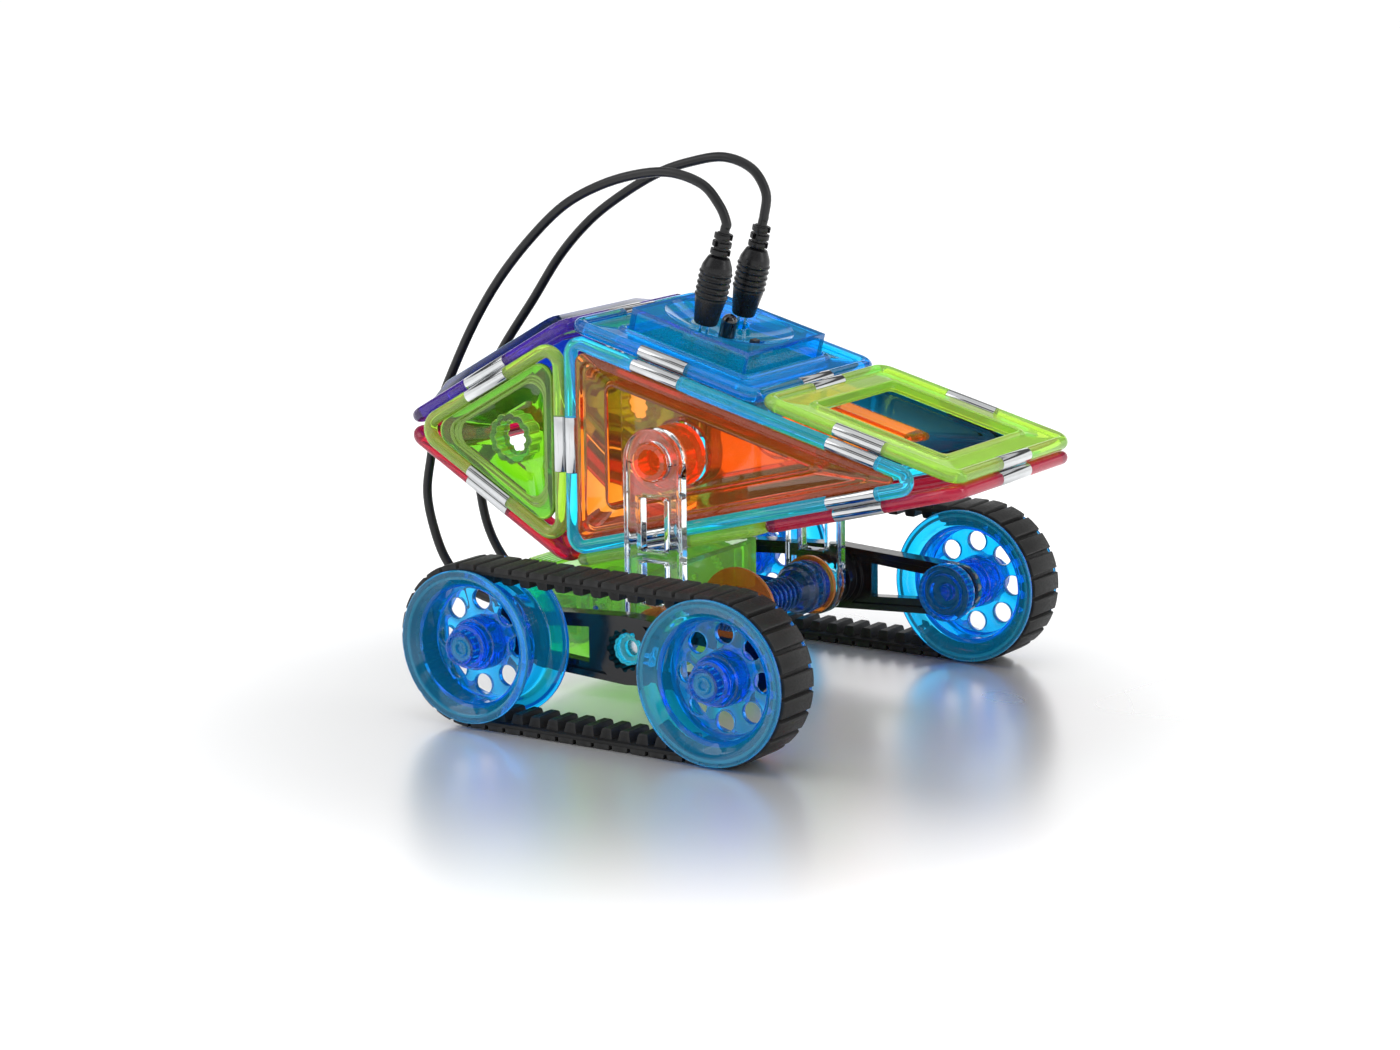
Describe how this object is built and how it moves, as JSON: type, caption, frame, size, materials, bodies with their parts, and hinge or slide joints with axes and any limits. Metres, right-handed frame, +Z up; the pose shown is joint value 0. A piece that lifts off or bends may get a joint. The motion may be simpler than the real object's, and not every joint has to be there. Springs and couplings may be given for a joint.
{
  "type": "tracked toy rover",
  "caption": "Remote-controlled tracked rover built from translucent magnetic construction tiles, with a receiver box and two plug-in motor leads on top.",
  "frame": {"origin": "middle of the object's length and width, on the floor under the tracks", "axes": "+X to the nose, +Y to the left side, +Z up"},
  "size_m": [0.2105, 0.172, 0.1645],
  "materials": {
    "cyan_frame": "gloss translucent",
    "orange_panel": "gloss translucent",
    "teal_panel": "gloss translucent",
    "lime_frame": "gloss translucent",
    "lime_panel": "gloss translucent",
    "blue_housing": "gloss translucent",
    "purple_frame": "gloss translucent",
    "deep_blue_panel": "gloss translucent",
    "crimson_frame": "gloss translucent",
    "steel_sleeve": "polished",
    "magnet": "satin",
    "board": "solder mask",
    "dark_dome": "gloss",
    "lamp_lens": "clear",
    "black_plastic": "matte",
    "cell_can": "satin",
    "plated_steel": "plated",
    "plug_rubber": "satin",
    "cable_sheath": "satin",
    "lime_box": "gloss translucent",
    "motor_can": "plated",
    "gear_nylon": "satin",
    "blue_axle": "gloss translucent",
    "blue_wheel": "gloss translucent",
    "black_beam": "satin gloss",
    "track_rubber": "matte",
    "clear_link": "clear acrylic",
    "orange_bush": "gloss translucent",
    "steel_axle": "ground",
    "blue_spacer": "gloss translucent",
    "orange_ring": "gloss translucent"
  },
  "bodies": {
    "root": {"side_frame_right": "cyan_frame", "side_frame_left": "cyan_frame", "side_panel_right": "orange_panel", "side_panel_left": "teal_panel", "rear_side_frame_right": "lime_frame", "rear_side_frame_left": "lime_frame", "rear_side_panel_right": "lime_panel", "rear_side_panel_left": "lime_panel", "top_frame": "blue_housing", "nose_top_frame": "lime_frame", "rear_top_frame": "purple_frame", "rear_top_panel": "deep_blue_panel", "rear_bottom_frame": "crimson_frame", "belly_frame": "lime_frame", "nose_bottom_frame": "crimson_frame", "steel_sleeves": "steel_sleeve", "tile_magnets": "magnet", "receiver_cover": "blue_housing", "receiver_case": "blue_housing", "circuit_board": "board", "infrared_dome": "dark_dome", "status_lamp": "lamp_lens", "battery_cells": "cell_can", "battery_contacts": "plated_steel", "battery_door": "blue_housing", "case_screws": "plated_steel", "plug_right": "plug_rubber", "plug_left": "plug_rubber", "cable_right": "cable_sheath", "cable_left": "cable_sheath", "cable_grommets": "plug_rubber", "drive_box_lower": "lime_box", "drive_box_upper": "lime_box", "motor_right": "motor_can", "motor_left": "motor_can", "gear_pins": "plated_steel", "box_screws": "plated_steel", "track_beam_right": "black_beam", "track_beam_left": "black_beam", "track_belt_right": "track_rubber", "track_belt_left": "track_rubber", "hull_link_right": "clear_link", "hull_link_left": "clear_link", "link_bushes": "orange_bush", "centre_axle": "steel_axle", "axle_spacers": "blue_spacer", "axle_rings": "orange_ring"},
    "rear_drive_right": {"rear_axle_right": "blue_axle", "rear_wheel_right": "blue_wheel"},
    "front_idler_right": {"front_axle_right": "blue_axle", "front_wheel_right": "blue_wheel"},
    "compound_right": {"compound_gear_right": "gear_nylon"},
    "motor_shaft_right": {"pinion_right": "gear_nylon"},
    "rear_drive_left": {"rear_axle_left": "blue_axle", "rear_wheel_left": "blue_wheel"},
    "front_idler_left": {"front_axle_left": "blue_axle", "front_wheel_left": "blue_wheel"},
    "compound_left": {"compound_gear_left": "gear_nylon"},
    "motor_shaft_left": {"pinion_left": "gear_nylon"},
    "switch": {"power_switch": "black_plastic"}
  },
  "joints": [
    {"name": "rear_right_spin", "type": "hinge", "parent": "root", "child": "rear_drive_right", "pos_m": [-0.04144, -0.073, 0.025], "axis": [0, 1, 0], "continuous": true},
    {"name": "front_right_spin", "type": "hinge", "parent": "root", "child": "front_idler_right", "pos_m": [0.04456, -0.073, 0.025], "axis": [0, 1, 0], "continuous": true},
    {"name": "compound_right_spin", "type": "hinge", "parent": "root", "child": "compound_right", "pos_m": [-0.02888, -0.023, 0.02837], "axis": [0, 1, 0], "continuous": true},
    {"name": "motor_right_spin", "type": "hinge", "parent": "root", "child": "motor_shaft_right", "pos_m": [-0.02495, -0.021, 0.01756], "axis": [0, 1, 0], "continuous": true},
    {"name": "rear_left_spin", "type": "hinge", "parent": "root", "child": "rear_drive_left", "pos_m": [-0.04144, 0.073, 0.025], "axis": [0, 1, 0], "continuous": true},
    {"name": "front_left_spin", "type": "hinge", "parent": "root", "child": "front_idler_left", "pos_m": [0.04456, 0.073, 0.025], "axis": [0, 1, 0], "continuous": true},
    {"name": "compound_left_spin", "type": "hinge", "parent": "root", "child": "compound_left", "pos_m": [-0.02888, 0.023, 0.02837], "axis": [0, 1, 0], "continuous": true},
    {"name": "motor_left_spin", "type": "hinge", "parent": "root", "child": "motor_shaft_left", "pos_m": [-0.02495, 0.021, 0.01756], "axis": [0, 1, 0], "continuous": true},
    {"name": "power_slide", "type": "slide", "parent": "root", "child": "switch", "axis": [0, 1, 0], "range_m": [0, 0.003]}
  ],
  "couplings": [
    {"joint": "front_right_spin", "follows": "rear_right_spin", "ratio": 1},
    {"joint": "compound_right_spin", "follows": "rear_right_spin", "ratio": -3.3333},
    {"joint": "motor_right_spin", "follows": "rear_right_spin", "ratio": 12},
    {"joint": "front_left_spin", "follows": "rear_left_spin", "ratio": 1},
    {"joint": "compound_left_spin", "follows": "rear_left_spin", "ratio": -3.3333},
    {"joint": "motor_left_spin", "follows": "rear_left_spin", "ratio": 12}
  ]
}
